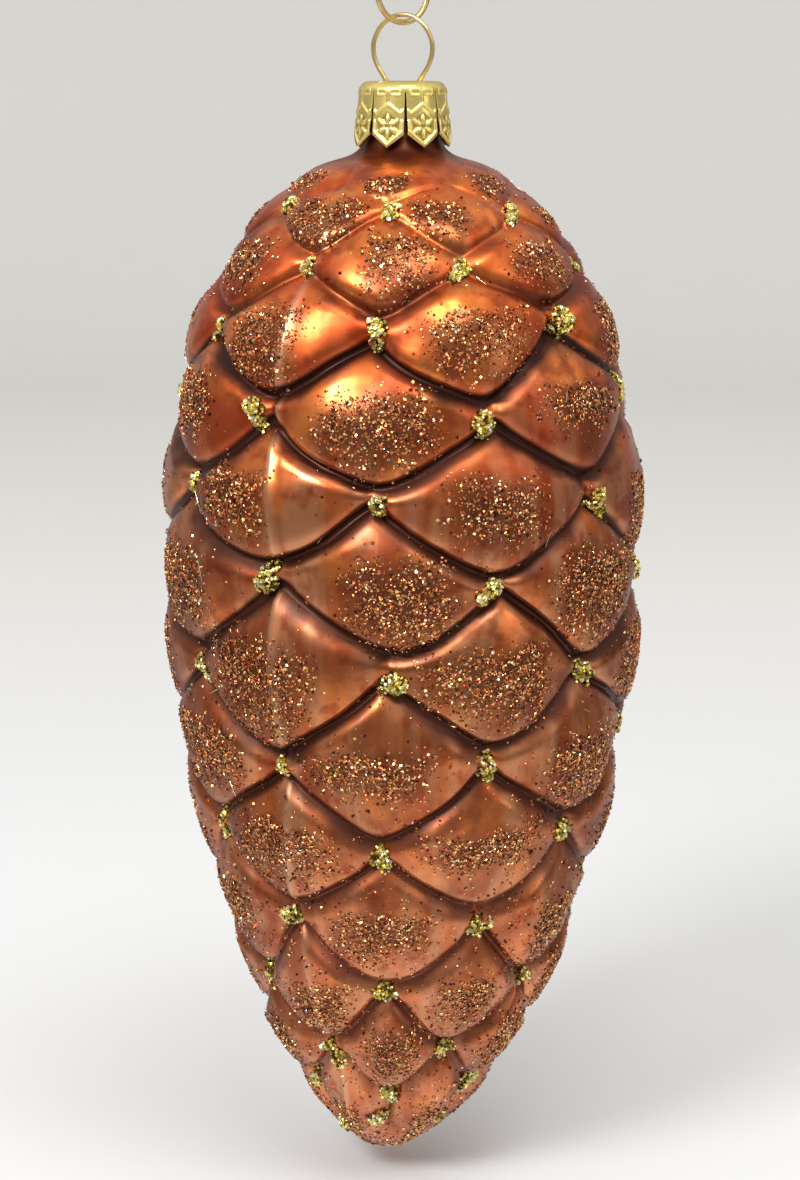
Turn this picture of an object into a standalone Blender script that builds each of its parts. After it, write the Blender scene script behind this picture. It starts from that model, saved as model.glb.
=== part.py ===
"""Blown glass fir-cone ornament hanging by a wire loop in a round ring.

Four pieces: a hollow glass cone with overlapping scales, a thin stamped cap with eight prongs over
its neck, a spring wire loop through the cap, and the round ring that the loop hangs in.

Sizes below are in millimetres. The origin is the highest point inside the ring, where a hook or a
thread holds the ornament, so everything else hangs below it on the Z axis. Angles are in degrees
about Z, counted from the front (-Y) towards +X.
"""
import math

import bmesh
import bpy
import numpy as np
from mathutils import Matrix, Vector

MM = 0.001

# Ring and loop: two wires linked like a chain, with a small gap where they would touch
RING_WIRE = 0.75
RING_OUTER = 8.6
RING_TURN = 35.0
LINK_GAP = 0.3
LOOP_WIRE = 0.6
LOOP_TURN = -25.0
LOOP_HALF_WIDTH = 4.15
LOOP_HEIGHT = 8.34
LEG_SPACING = 4.6
LEG_LENGTH = 9.6
LEG_SPLAY = 0.8
EYE_BENDS = ((0.55, -0.75), (0.94, -2.85), (1.0, -4.4), (0.9, -6.1))  # share of the half width, z
NECK_BEND = (0.45, -7.7)  # outside the leg, z
LEG_ENTRY = 0.15  # below the cap's top
LEG_BEND = (0.1, 2.0)  # outwards, below the cap's top

# Cap: thin sheet metal, cut into eight pointed prongs
CAP_WALL = 0.3
CAP_TOP_RADIUS = 5.6
CAP_RIM_RADIUS = 6.35
CAP_CORNER = 1.2
PRONGS = 8
PRONG_SIDE = 6.6
PRONG_TIP = 8.25
SLIT_WIDTH = 0.3
SLIT_TOP = 1.4
SLIT_ANGLE = 3.6
HOLE_RADIUS = 0.65
SLIT_CUTTER = (4.0, 12.0)  # how far in and how tall
HOLE_CUTTER = 2.0

# Glass: outline of the blown body as (radius, depth below the cap's top), down to its closed tip
OUTLINE = (
    (4.6, 1.0), (4.6, 5.5), (6.1, 9.0), (12.6, 11.6), (20.4, 18.6), (27.6, 31.0), (31.4, 50.0),
    (31.6, 68.0), (29.6, 87.0), (24.5, 107.5), (16.9, 127.0), (7.2, 140.2), (0.0, 144.0),
)
GLASS_WALL = 0.8
LEAN = 2.2
LEAN_START = 111.0
LEAN_POWER = 1.6

# Scales: rows of six, each row turned half a scale from the one above; depths of the rows' tips
SCALES_ROUND = 6
SCALE_PHASE = -5.0
TIP_DEPTHS = (14.1, 19.5, 26.8, 37.4, 48.0, 58.8, 70.4, 81.6, 92.7, 103.5, 114.3, 124.5, 132.4, 138.8)
TOP_DROP = 3.0
SIDE_DROP = 1.8
TOP_POWER = 1.6
SIDE_POWER = 2.2
TOP_LIMIT = 1.6  # how far past a scale's top its face is followed
LIP_DROP = 0.5
CREST = 0.42
LIP_SLOPE = 3.0
LIP_CURVE = 1.15
DEEPEST = 9.0
GROOVE_SHARPNESS = 12.0  # higher is a sharper groove between two faces
FIRST_ROWS = (9.0, 4.5)
LAST_ROW = 6.0
TOP_FADE = (9.5, 13.0)
TIP_FADE = (1.0, 9.0)

# Mesh steps
OUTLINE_STEPS = 24
GLASS_STEPS = 36
STEPS_PER_ROW = 3
NECK_RINGS = 7
TIP_RINGS = 4
CAP_STEPS = 48
RING_STEPS = 40
WIRE_SIDES = 8
MERGE = 0.0005
GLASS_MERGE = 0.02

# Heights that follow from the sizes above
RING_MEAN = (RING_OUTER - RING_WIRE) / 2
RING_INNER = RING_MEAN - RING_WIRE / 2
PIVOT_Z = -RING_INNER - RING_MEAN
LOOP_TOP_Z = -2 * RING_INNER + LINK_GAP + LOOP_WIRE / 2
CAP_TOP_Z = LOOP_TOP_Z - LOOP_HEIGHT


def clear_scene():
    for old in list(bpy.data.objects):
        bpy.data.objects.remove(old, do_unlink=True)


def make_material(name, colour, roughness, metallic):
    material = bpy.data.materials.new(name)
    material.use_nodes = True
    shader = material.node_tree.nodes["Principled BSDF"]
    shader.inputs["Base Color"].default_value = (*colour, 1.0)
    shader.inputs["Roughness"].default_value = roughness
    shader.inputs["Metallic"].default_value = metallic
    return material


def add_object(name, data, material=None, parent=None, height=0.0):
    obj = bpy.data.objects.new(name, data)
    bpy.context.scene.collection.objects.link(obj)
    if material is not None:
        data.materials.append(material)
    if parent is not None:
        obj.parent = parent
        height -= PIVOT_Z
    obj.location = (0.0, 0.0, height * MM)
    return obj


def mesh_from(bm, name, sharp_angle=35.0):
    bmesh.ops.scale(bm, vec=(MM, MM, MM), verts=bm.verts)
    mesh = bpy.data.meshes.new(name)
    bm.to_mesh(mesh)
    bm.free()
    mesh.shade_smooth()
    mesh.set_sharp_from_angle(angle=math.radians(sharp_angle))
    return mesh


def turned(bm, points, steps):
    """Spins a line of (radius, depth) points once about Z and closes it at the axis."""
    line = [bm.verts.new((radius, 0.0, -depth)) for radius, depth in points]
    edges = [bm.edges.new(pair) for pair in zip(line, line[1:])]
    bmesh.ops.spin(bm, geom=line + edges, cent=(0, 0, 0), axis=(0, 0, 1), angle=math.tau,
                   steps=steps, use_merge=True)
    bmesh.ops.remove_doubles(bm, verts=bm.verts, dist=MERGE)
    bmesh.ops.recalc_face_normals(bm, faces=bm.faces)


def smooth_line(points, steps):
    """A Catmull-Rom curve through the points, as a dense array."""
    ends = [2 * np.array(points[0]) - points[1], *map(np.array, points),
            np.array(points[-1]) * (-1, 1) + (-points[-2][0], 0)]
    t = np.linspace(0, 1, steps, endpoint=False)[:, None]
    pieces = []
    for a, b, c, d in zip(ends, ends[1:], ends[2:], ends[3:]):
        pieces.append(b + 0.5 * t * (c - a + t * (2 * a - 5 * b + 4 * c - d
                                                 + t * (3 * b - a - 3 * c + d))))
    return np.vstack(pieces + [ends[-2][None]])


class GlassOutline:
    """The body's outline measured by the length along it, with its outward normal."""

    def __init__(self):
        line = smooth_line(OUTLINE, OUTLINE_STEPS)
        line[:, 0] = np.maximum(line[:, 0], 0.0)
        self.line = line
        self.along = np.r_[0, np.cumsum(np.hypot(*np.diff(line, axis=0).T))]
        self.length = self.along[-1]
        way = np.gradient(line, self.along, axis=0)
        way /= np.linalg.norm(way, axis=1)[:, None]
        way[-1] = (-1, 0)
        self.normal = np.c_[way[:, 1], -way[:, 0]]

    def at(self, along):
        radius, depth = (np.interp(along, self.along, self.line[:, i]) for i in (0, 1))
        out, down = (np.interp(along, self.along, self.normal[:, i]) for i in (0, 1))
        return radius, depth, out, down

    def along_at_depth(self, depth):
        return float(np.interp(depth, self.line[:, 1], self.along))


def scale_relief(angle, along, tips):
    """How far the scaled surface lies inside the outline, as a negative distance."""
    half = 180.0 / SCALES_ROUND
    heights = []
    for row in range(2, len(tips)):
        tip, side, top = tips[row], tips[row - 1], tips[row - 2]
        centre = SCALE_PHASE + half * (row % 2)
        across = abs((angle - centre + half) % (2 * half) / half - 1)
        up = (tip - along) / (tip - top)
        face = -SIDE_DROP * across ** SIDE_POWER
        if up > CREST:
            face -= TOP_DROP * min((up - CREST) / (1 - CREST), TOP_LIMIT) ** TOP_POWER
        else:
            face -= LIP_DROP * (1 - up / CREST) ** 2
        lip = tip - (tip - side) * across ** LIP_CURVE
        below = max(along - lip, 0.0)
        heights.append(max(face - LIP_SLOPE * below, -DEEPEST))
    return math.log(sum(math.exp(GROOVE_SHARPNESS * h) for h in heights)) / GROOVE_SHARPNESS


def fade(value, start, end):
    t = min(max((value - start) / (end - start), 0.0), 1.0)
    return t * t * (3 - 2 * t)


def split_along_lips(bm, tips, along_at):
    """Splits each four-sided face along the diagonal that runs the way a scale's lip runs there."""
    half = math.pi / SCALES_ROUND
    start = math.radians(SCALE_PHASE - 90.0)
    for face in [f for f in bm.faces if len(f.verts) == 4]:
        middle = face.calc_center_median()
        turn = math.atan2(middle.y, middle.x)
        along = np.interp(-middle.z, range(len(along_at)), along_at)
        row = int(np.searchsorted(tips, along))
        column = math.floor((turn - start) % math.tau / half)
        rises_ahead = (column + row) % 2 == 1

        def corner(vert):
            ahead = math.sin(math.atan2(vert.co.y, vert.co.x) - turn) > 0
            return ahead == (vert.co.z > middle.z)

        pair = [v for v in face.verts if corner(v) == rises_ahead]
        bmesh.utils.face_split(face, *pair)


def make_glass(material, parent):
    outline = GlassOutline()
    rows = [outline.along_at_depth(depth) for depth in TIP_DEPTHS]
    tips = [rows[0] - FIRST_ROWS[0], rows[0] - FIRST_ROWS[1], *rows, rows[-1] + LAST_ROW]
    scaled = [a + (b - a) * step / STEPS_PER_ROW
              for a, b in zip(tips[1:], tips[2:]) for step in range(STEPS_PER_ROW)]
    neck = np.linspace(0, scaled[0], NECK_RINGS, endpoint=False)
    tip = np.linspace(tips[-1], outline.length, TIP_RINGS)
    down_the_skin = np.array([*neck, *scaled, *tip])
    along_at = np.r_[down_the_skin[::-1], down_the_skin]
    rings = np.arange(len(along_at))

    bm = bmesh.new()
    # A tube of unit rings, one for each place along the skin: outside up, over the rim, inside down
    turned(bm, [(1.0, ring) for ring in rings], GLASS_STEPS)
    start = math.radians(SCALE_PHASE)
    bmesh.ops.rotate(bm, cent=(0, 0, 0), matrix=Matrix.Rotation(start, 3, "Z"), verts=bm.verts)
    split_along_lips(bm, tips, along_at)
    for vert in bm.verts:
        ring = round(-vert.co.z)
        along = along_at[ring]
        inside = GLASS_WALL if ring >= len(down_the_skin) else 0.0
        turn = math.atan2(vert.co.y, vert.co.x)
        radius, depth, out, down = outline.at(along)
        strength = fade(depth, *TOP_FADE) * fade(radius, *TIP_FADE)
        shift = strength * scale_relief(math.degrees(turn) + 90.0, along, tips) - inside
        radius = max(radius + out * shift, 0.0)
        depth += down * shift
        past = max((depth - LEAN_START) / (OUTLINE[-1][1] - LEAN_START), 0.0)
        lean = LEAN * past ** LEAN_POWER
        vert.co = (radius * math.cos(turn) - lean, radius * math.sin(turn), -depth)
    bmesh.ops.remove_doubles(bm, verts=bm.verts, dist=GLASS_MERGE)
    bmesh.ops.recalc_face_normals(bm, faces=bm.faces)
    return add_object("glass_cone", mesh_from(bm, "glass_cone"), material, parent, CAP_TOP_Z)


def make_cap(material, parent):
    """A shallow cup of sheet metal with a rounded corner, whose side is cut into pointed prongs."""
    corner = [math.radians(a) for a in (0, 30, 60, 90)]
    skins = []
    for inside in (0.0, CAP_WALL):
        bend = CAP_CORNER - inside
        centre = CAP_TOP_RADIUS - CAP_CORNER
        skins.append([(0.0, inside)]
                     + [(centre + bend * math.sin(a), CAP_CORNER - bend * math.cos(a)) for a in corner]
                     + [(CAP_RIM_RADIUS - inside, PRONG_SIDE)])
    bm = bmesh.new()
    turned(bm, skins[0] + skins[1][::-1], CAP_STEPS)
    first_slit = math.radians(SLIT_ANGLE - 90.0)
    bmesh.ops.rotate(bm, cent=(0, 0, 0), matrix=Matrix.Rotation(first_slit, 3, "Z"), verts=bm.verts)
    pitch = math.tau / PRONGS
    for vert in bm.verts:
        if vert.co.z < -PRONG_SIDE + 0.01:
            place = (math.atan2(vert.co.y, vert.co.x) - first_slit) % pitch / pitch
            vert.co.z -= (PRONG_TIP - PRONG_SIDE) * (1 - abs(2 * place - 1))
    cap = add_object("cap", mesh_from(bm, "cap"), material, parent, CAP_TOP_Z)
    cut_with(cap, "slit_cutter", slit_boxes(first_slit))
    cut_with(cap, "wire_hole_cutter", wire_hole_rods())
    return cap


def slit_boxes(first_slit):
    deep, tall = SLIT_CUTTER
    bm = bmesh.new()
    for prong in range(PRONGS):
        made = bmesh.ops.create_cube(bm, size=1.0)["verts"]
        bmesh.ops.scale(bm, vec=(deep, SLIT_WIDTH, tall), verts=made)
        bmesh.ops.translate(bm, vec=(CAP_RIM_RADIUS, 0.0, -SLIT_TOP - tall / 2), verts=made)
        turn = Matrix.Rotation(first_slit + prong * math.tau / PRONGS, 3, "Z")
        bmesh.ops.rotate(bm, cent=(0, 0, 0), matrix=turn, verts=made)
    return bm


def wire_hole_rods():
    bm = bmesh.new()
    for side in (-1, 1):
        made = bmesh.ops.create_cone(bm, cap_ends=True, segments=16, radius1=HOLE_RADIUS,
                                     radius2=HOLE_RADIUS, depth=HOLE_CUTTER)["verts"]
        bmesh.ops.translate(bm, vec=(side * LEG_SPACING / 2, 0, 0), verts=made)
    turn = Matrix.Rotation(math.radians(LOOP_TURN), 3, "Z")
    bmesh.ops.rotate(bm, cent=(0, 0, 0), matrix=turn, verts=bm.verts)
    return bm


def cut_with(target, name, bm):
    cutter = add_object(name, mesh_from(bm, name), None, target.parent, CAP_TOP_Z)
    cutter.hide_render = True
    cutter.display_type = "WIRE"
    boolean = target.modifiers.new(name, "BOOLEAN")
    boolean.operation = "DIFFERENCE"
    boolean.solver = "EXACT"
    boolean.object = cutter


def make_loop(material, parent):
    """One bent wire: a round eye above the cap, then two legs that spread inside the glass neck."""
    half = LEG_SPACING / 2
    side = [(LOOP_HALF_WIDTH * share, z) for share, z in EYE_BENDS]
    side += [
        (half + NECK_BEND[0], NECK_BEND[1]),
        (half, -LOOP_HEIGHT - LEG_ENTRY),
        (half + LEG_BEND[0], -LOOP_HEIGHT - LEG_BEND[1]),
        (half + LEG_SPLAY, -LOOP_HEIGHT - LEG_LENGTH),
    ]
    points = [(-x, z) for x, z in reversed(side)] + [(0.0, 0.0)] + side
    curve = bpy.data.curves.new("hanging_loop", "CURVE")
    curve.dimensions = "3D"
    curve.resolution_u = 3
    curve.bevel_depth = LOOP_WIRE / 2 * MM
    curve.bevel_resolution = 2
    curve.use_fill_caps = True
    spline = curve.splines.new("BEZIER")
    spline.bezier_points.add(len(points) - 1)
    turn = Matrix.Rotation(math.radians(LOOP_TURN), 3, "Z")
    for point, (x, z) in zip(spline.bezier_points, points):
        point.co = turn @ Vector((x, 0.0, z)) * MM
        point.handle_left_type = point.handle_right_type = "AUTO"
    spline.use_smooth = True
    return add_object("hanging_loop", curve, material, parent, LOOP_TOP_Z)


def make_ring(material):
    bm = bmesh.new()
    section = bmesh.ops.create_circle(bm, segments=WIRE_SIDES, radius=RING_WIRE / 2)["verts"]
    bmesh.ops.translate(bm, vec=(RING_MEAN, 0, 0), verts=section)
    bmesh.ops.spin(bm, geom=section + bm.edges[:], cent=(0, 0, 0), axis=(0, 1, 0), angle=math.tau,
                   steps=RING_STEPS, use_merge=True)
    bmesh.ops.remove_doubles(bm, verts=bm.verts, dist=MERGE)
    bmesh.ops.recalc_face_normals(bm, faces=bm.faces)
    turn = Matrix.Rotation(math.radians(RING_TURN), 3, "Z")
    bmesh.ops.rotate(bm, cent=(0, 0, 0), matrix=turn, verts=bm.verts)
    return add_object("hanger_ring", mesh_from(bm, "hanger_ring"), material, None, -RING_INNER)


def main():
    clear_scene()
    copper = make_material("copper_lacquered_glass", (0.55, 0.17, 0.06), 0.35, 0.85)
    gold = make_material("stamped_gold_cap", (0.83, 0.58, 0.20), 0.3, 1.0)
    brass = make_material("brass_wire", (0.80, 0.60, 0.28), 0.22, 1.0)
    pivot = add_object("swing_pivot", None, height=PIVOT_Z)
    make_glass(copper, pivot)
    make_cap(gold, pivot)
    make_loop(brass, pivot)
    make_ring(brass.copy())


main()
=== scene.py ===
# %% [markdown]
# A hanging glass cone ornament
#
# This lesson dresses a plain solid model of a blown glass fir cone. The solid model gives the
# sizes and the moving bodies. Here the glass gets its scales, its satin copper lacquer and its
# glitter, the cap gets its stamped pattern, and the wires get their polish.

# %% Load the frame
import math

import bmesh
import bpy
import numpy as np
from mathutils import Matrix, Vector, noise


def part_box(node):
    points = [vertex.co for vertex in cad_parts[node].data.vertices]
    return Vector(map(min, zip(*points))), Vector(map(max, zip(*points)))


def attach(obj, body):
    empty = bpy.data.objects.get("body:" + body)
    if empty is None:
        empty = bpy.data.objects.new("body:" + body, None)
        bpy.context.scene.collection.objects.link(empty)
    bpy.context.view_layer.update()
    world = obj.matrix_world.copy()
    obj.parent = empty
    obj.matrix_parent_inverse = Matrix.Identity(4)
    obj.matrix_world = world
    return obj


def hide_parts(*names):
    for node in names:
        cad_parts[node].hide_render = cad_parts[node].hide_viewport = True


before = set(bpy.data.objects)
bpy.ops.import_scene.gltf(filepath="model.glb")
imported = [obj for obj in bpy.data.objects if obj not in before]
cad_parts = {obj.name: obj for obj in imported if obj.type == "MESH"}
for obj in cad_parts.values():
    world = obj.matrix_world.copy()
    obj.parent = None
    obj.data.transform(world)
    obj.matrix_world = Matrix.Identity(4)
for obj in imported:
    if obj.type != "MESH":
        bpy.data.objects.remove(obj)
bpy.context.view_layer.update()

# %% [markdown]
# Units and places
#
# Ornament makers work in millimetres, so the lengths below are in millimetres too and are turned
# into metres when a mesh is finished. Depths are counted down from the top of the cap, and angles
# in degrees from the front, which faces -Y, towards the right. The frame says where the cap and
# the wires are, so nothing has to be fitted by eye.

# %% Units and places
MM = 0.001
ROUND_STEPS = 96
CAP_TOP_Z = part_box("cap")[1].z / MM
FLOOR_GAP = 2.5
FLOOR_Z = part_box("glass_cone")[0].z / MM - FLOOR_GAP
rng = np.random.default_rng(seed=7)
print("cap top at", round(CAP_TOP_Z, 2), "mm, floor at", round(FLOOR_Z, 2), "mm")


def smoothstep(value, start, end):
    t = np.clip((value - start) / (end - start), 0, 1)
    return t * t * (3 - 2 * t)


def mesh_from(bm, name, scale=1.0):
    """Turns a bmesh into a mesh, and lets the bmesh go."""
    bmesh.ops.scale(bm, vec=(scale, scale, scale), verts=bm.verts)
    mesh = bpy.data.meshes.new(name)
    bm.to_mesh(mesh)
    bm.free()
    return mesh


def spun_line(points, steps):
    """A bmesh with a line of points, turned once round the upright axis."""
    bm = bmesh.new()
    line = [bm.verts.new(point) for point in points]
    edges = [bm.edges.new(pair) for pair in zip(line, line[1:])]
    bmesh.ops.spin(bm, geom=line + edges, cent=(0, 0, 0), axis=(0, 0, 1), angle=math.tau,
                   steps=steps, use_merge=True)
    return bm


def add_object(name, data):
    made = bpy.data.objects.new(name, data)
    bpy.context.scene.collection.objects.link(made)
    return made


def place_mesh(mesh, name, material, body, smooth):
    """A piece at the origin that rides on a body. Edges past the smooth angle stay sharp."""
    if smooth:
        mesh.shade_smooth()
        mesh.set_sharp_from_angle(angle=math.radians(smooth))
    mesh.materials.append(material)
    piece = add_object(name, mesh)
    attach(piece, body)
    print(f"{name}: {len(mesh.vertices)} vertices, {len(mesh.polygons)} faces")
    return piece


def points_of(mesh):
    co = np.empty(len(mesh.vertices) * 3)
    mesh.vertices.foreach_get("co", co)
    return co.reshape(-1, 3)


def set_points(mesh, co):
    mesh.vertices.foreach_set("co", np.ascontiguousarray(co, float).ravel())
    mesh.update()


def point_attribute(mesh, name, values, kind="FLOAT"):
    layer = mesh.attributes.new(name, kind, "POINT")
    key = "value" if kind == "FLOAT" else "color"
    layer.data.foreach_set(key, np.ascontiguousarray(values, float).ravel())


# %% [markdown]
# The camera
#
# The ornament is seen from the height of its wire loop, slightly from above, from about 38 cm
# away. The focal length is given in heights of the picture, whose longer side is the height.

# %% The camera
VIEW_DISTANCE = 375.0
VIEW_DOWN = math.radians(11.0)
FOCAL_HEIGHTS = 2.398
SENSOR = 36.0
AIM = Vector((-0.35, 0.0, -81.24))
camera_data = bpy.data.cameras.new("studio_camera")
camera_data.sensor_width = SENSOR
camera_data.lens = FOCAL_HEIGHTS * SENSOR
camera = add_object("studio_camera", camera_data)
back = Vector((0, -math.cos(VIEW_DOWN), math.sin(VIEW_DOWN)))
camera.location = (AIM + VIEW_DISTANCE * back) * MM
camera.rotation_euler = (math.pi / 2 - VIEW_DOWN, 0, 0)
bpy.context.scene.camera = camera
print("camera at", [round(v, 3) for v in camera.location], "m")

# %% [markdown]
# Helpers for materials
#
# Every finish below is a small network of nodes around one Principled shader. A few helpers keep
# the networks short. One sets a node's inputs: a socket is linked, a plain value is typed in. The
# others add the nodes that the finishes need most.

# %% Helpers for materials
def new_material(name):
    material = bpy.data.materials.new(name)
    material.use_nodes = True
    tree = material.node_tree
    shader = tree.nodes["Principled BSDF"]
    return material, tree, shader


def set_inputs(tree, node, inputs):
    for key, value in dict(inputs).items():
        if isinstance(value, bpy.types.NodeSocket):
            tree.links.new(value, node.inputs[key])
        else:
            node.inputs[key].default_value = value


def add_node(tree, kind, inputs=(), **settings):
    node = tree.nodes.new(kind)
    for key, value in settings.items():
        setattr(node, key, value)
    set_inputs(tree, node, inputs)
    return node


def colour_mix(tree, factor, a, b, blend="MIX"):
    """A Mix node for colours. Each of the three may be a socket or a plain value."""
    a, b = (v if isinstance(v, bpy.types.NodeSocket) else (*v, 1.0) for v in (a, b))
    return add_node(tree, "ShaderNodeMix", {0: factor, 6: a, 7: b}, data_type="RGBA",
                    blend_type=blend).outputs[2]


def object_place(tree):
    return add_node(tree, "ShaderNodeTexCoord").outputs["Object"]


def noise_texture(tree, place, scale, detail, roughness=0.5):
    return add_node(tree, "ShaderNodeTexNoise", {"Vector": place, "Scale": scale, "Detail": detail,
                                                 "Roughness": roughness}).outputs["Fac"]


def noise_on_object(tree, *settings):
    return noise_texture(tree, object_place(tree), *settings)


def ramp(tree, value, low, high, out_low=0.0, out_high=1.0):
    node = add_node(tree, "ShaderNodeMapRange", {"Value": value, "From Min": low, "From Max": high,
                                                 "To Min": out_low, "To Max": out_high})
    return node.outputs["Result"]


def part_of(tree, mask, most):
    """The same mask, but never stronger than a share."""
    return ramp(tree, mask, 0, 1, 0, most)


def multiply_add(tree, value, factor, plus):
    return add_node(tree, "ShaderNodeMath", {0: value, 1: factor, 2: plus},
                    operation="MULTIPLY_ADD").outputs[0]


def fine_bump(tree, height, strength, distance):
    return add_node(tree, "ShaderNodeBump", {"Height": height, "Strength": strength,
                                             "Distance": distance}).outputs["Normal"]


# %% [markdown]
# The outline of the blown body
#
# The glass is blown into a mould that is a slim egg with a neck. Its side is a smooth line through
# a few points, each a radius and a depth. A Catmull-Rom curve passes through all of them without
# corners. The line is then measured along its length, so that the scales can be laid out on the
# surface itself, where they keep their size as the body narrows. Mould makers cut the scales by
# hand, so a few slow waves slip every point a little sideways and down: no two scales are alike.
# Each wave has a size, a number of waves round the body, a rise and a start. Glass is never quite
# straight either, and the lower end leans a little to the left.

# %% The outline of the blown body
OUTLINE = (
    (4.6, 1.0), (4.6, 5.5), (6.1, 9.0), (12.6, 11.6), (20.4, 18.6), (27.6, 31.0), (31.4, 50.0),
    (31.6, 68.0), (29.6, 87.0), (24.5, 107.5), (16.9, 127.0), (7.2, 140.2), (0.0, 144.0),
)
BODY_END = OUTLINE[-1][1]
SIDE_SLIPS = ((3.0, 1, 0.0, math.pi), (1.1, 2, 0.1, 0.6), (0.9, 4, -0.17, 2.1), (0.5, 7, 0.31, 4.0))
DOWN_SLIPS = ((0.45, 2, -0.12, 1.3), (0.4, 5, 0.19, 0.2), (0.25, 8, -0.36, 3.3))
SLIP_STARTS, SLIP_ENDS = (8.0, 22.0), (0.0, 25.0)  # the slips fade in and out over these
LEAN, LEAN_START, LEAN_POWER = 2.2, 111.0, 1.6
LINE_STEPS = 60


def smooth_line(points, steps):
    ends = [2 * np.array(points[0]) - points[1], *map(np.array, points),
            np.array(points[-1]) * (-1, 1) + (-points[-2][0], 0)]
    t = np.linspace(0, 1, steps, endpoint=False)[:, None]
    pieces = []
    for a, b, c, d in zip(ends, ends[1:], ends[2:], ends[3:]):
        pieces.append(b + 0.5 * t * (c - a + t * (2 * a - 5 * b + 4 * c - d
                                                 + t * (3 * b - a - 3 * c + d))))
    return np.vstack(pieces + [ends[-2][None]])


side_line = smooth_line(OUTLINE, LINE_STEPS)
side_line[:, 0] = np.maximum(side_line[:, 0], 0)
side_along = np.r_[0, np.cumsum(np.hypot(*np.diff(side_line, axis=0).T))]
side_way = np.gradient(side_line, side_along, axis=0)
side_way /= np.linalg.norm(side_way, axis=1)[:, None]
side_way[-1] = (-1, 0)
BODY_LENGTH = side_along[-1]


def on_outline(along):
    """Radius, depth and outward direction (out, down) at a distance along the side line."""
    radius, depth = (np.interp(along, side_along, side_line[:, i]) for i in (0, 1))
    down = np.interp(along, side_along, -side_way[:, 0])
    out = np.interp(along, side_along, side_way[:, 1])
    return radius, depth, out, down


def skin_points(angle, along, shift):
    """Points of a skin that lies a shift outside the outline, in millimetres."""
    ease = smoothstep(along, *SLIP_STARTS) * smoothstep(BODY_LENGTH - along, *SLIP_ENDS)
    turn = np.radians(angle)

    def slip(waves):
        return ease * sum(size * np.sin(count * turn + rise * along + start)
                          for size, count, rise, start in waves)

    angle = angle + slip(SIDE_SLIPS)
    along = along + slip(DOWN_SLIPS)
    radius, depth, out, down = on_outline(along)
    radius = np.maximum(radius + out * shift, 0)
    depth = depth + down * shift
    lean = LEAN * np.maximum((depth - LEAN_START) / (BODY_END - LEAN_START), 0) ** LEAN_POWER
    turn = np.radians(angle - 90)
    return np.stack([radius * np.cos(turn) - lean, radius * np.sin(turn), CAP_TOP_Z - depth], -1)


print("side line is", round(BODY_LENGTH, 1), "mm long")

# %% [markdown]
# The scales
#
# Each row has six scales, and each row is turned half a scale from the one above, as on a real
# cone, give or take a few degrees. A scale is a shallow pillow: highest a little below its middle,
# falling away towards its sides and towards the scales that cover its top, and dropping sharply
# under its lower lip. The surface at any point is the highest of the scales there. A soft maximum
# rounds the bottom of the groove, as glass blown into a mould does. Two crowded rows sit under the
# cap, and the last row has no lip of its own, because it closes the end.

# %% The scales
SCALES = 6
HALF = 180.0 / SCALES
PHASE = -5.0
TIP_DEPTHS = (14.1, 19.5, 26.8, 37.4, 48.0, 58.8, 70.4, 81.6, 92.7, 103.5, 114.3, 123.8, 131.0)
tip_rows = np.interp(TIP_DEPTHS, side_line[:, 1], side_along)
NECK_PITCH, END_REACH = 4.5, 17.0
tips = np.r_[tip_rows[0] - 2 * NECK_PITCH, tip_rows[0] - NECK_PITCH, tip_rows,
             tip_rows[-1] + END_REACH]
pitches = np.diff(tips, prepend=tips[0] - NECK_PITCH)
LAST = len(tips) - 1
CORNER_DROP = 0.2
LOW_ROWS = (9, 13)  # the rows over which the scales of the lower end change their ways
lip_curves = np.interp(range(len(tips)), LOW_ROWS, (1.36, 2.0))
TOP_DROP, SIDE_DROP, LIP_DROP = 4.5, 2.2, 0.8
TOP_POWER, SIDE_POWER, TOP_REACH = 1.6, 2.2, 1.7
LIP_ROUND, POINT_ROUND = 0.5, 0.012
CREST = 0.45
GROOVE, GROOVE_WIDTH = 0.9, 1.15
RIM, RIM_PLACE, RIM_WIDTH = 0.3, 2.3, 0.75
SLANT = 0.8
LIP_SLOPE = 2.6
SHARPNESS = 9.0
SHOULDER, END_FADE = (9.5, 30.0), (2.0, 13.0)
TIP_WANDER, ROW_WANDER = 0.7, 0.8
tip_shifts = rng.uniform(-TIP_WANDER, TIP_WANDER, (len(tips), SCALES))
row_turns = rng.normal(0, ROW_WANDER, len(tips))
# One scale in the middle of the front stops short, and two rows are turned further than the rest.
tip_shifts[8, 0] = -1.7
row_turns[5], row_turns[7] = -4.2, -2.4


def scale_place(row, angle):
    """How far across a scale of a row an angle lies, from -1 to 1, and which of the six it is."""
    turned = (angle - PHASE - row_turns[row] - HALF * (row % 2) + HALF) / (2 * HALF)
    return (turned % 1) * 2 - 1, np.floor(turned).astype(int) % SCALES


def lip_line(row, angle):
    """Distance along the side line of a row's lower lips."""
    across, which = scale_place(row, angle)
    tip = tips[row] + tip_shifts[row][which]
    corner = tips[row] - pitches[row] * (1 - CORNER_DROP)
    bend = (across * across + POINT_ROUND) ** (lip_curves[row] / 2)
    return tip - (tip - corner) * np.minimum(bend, 1)


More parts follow.
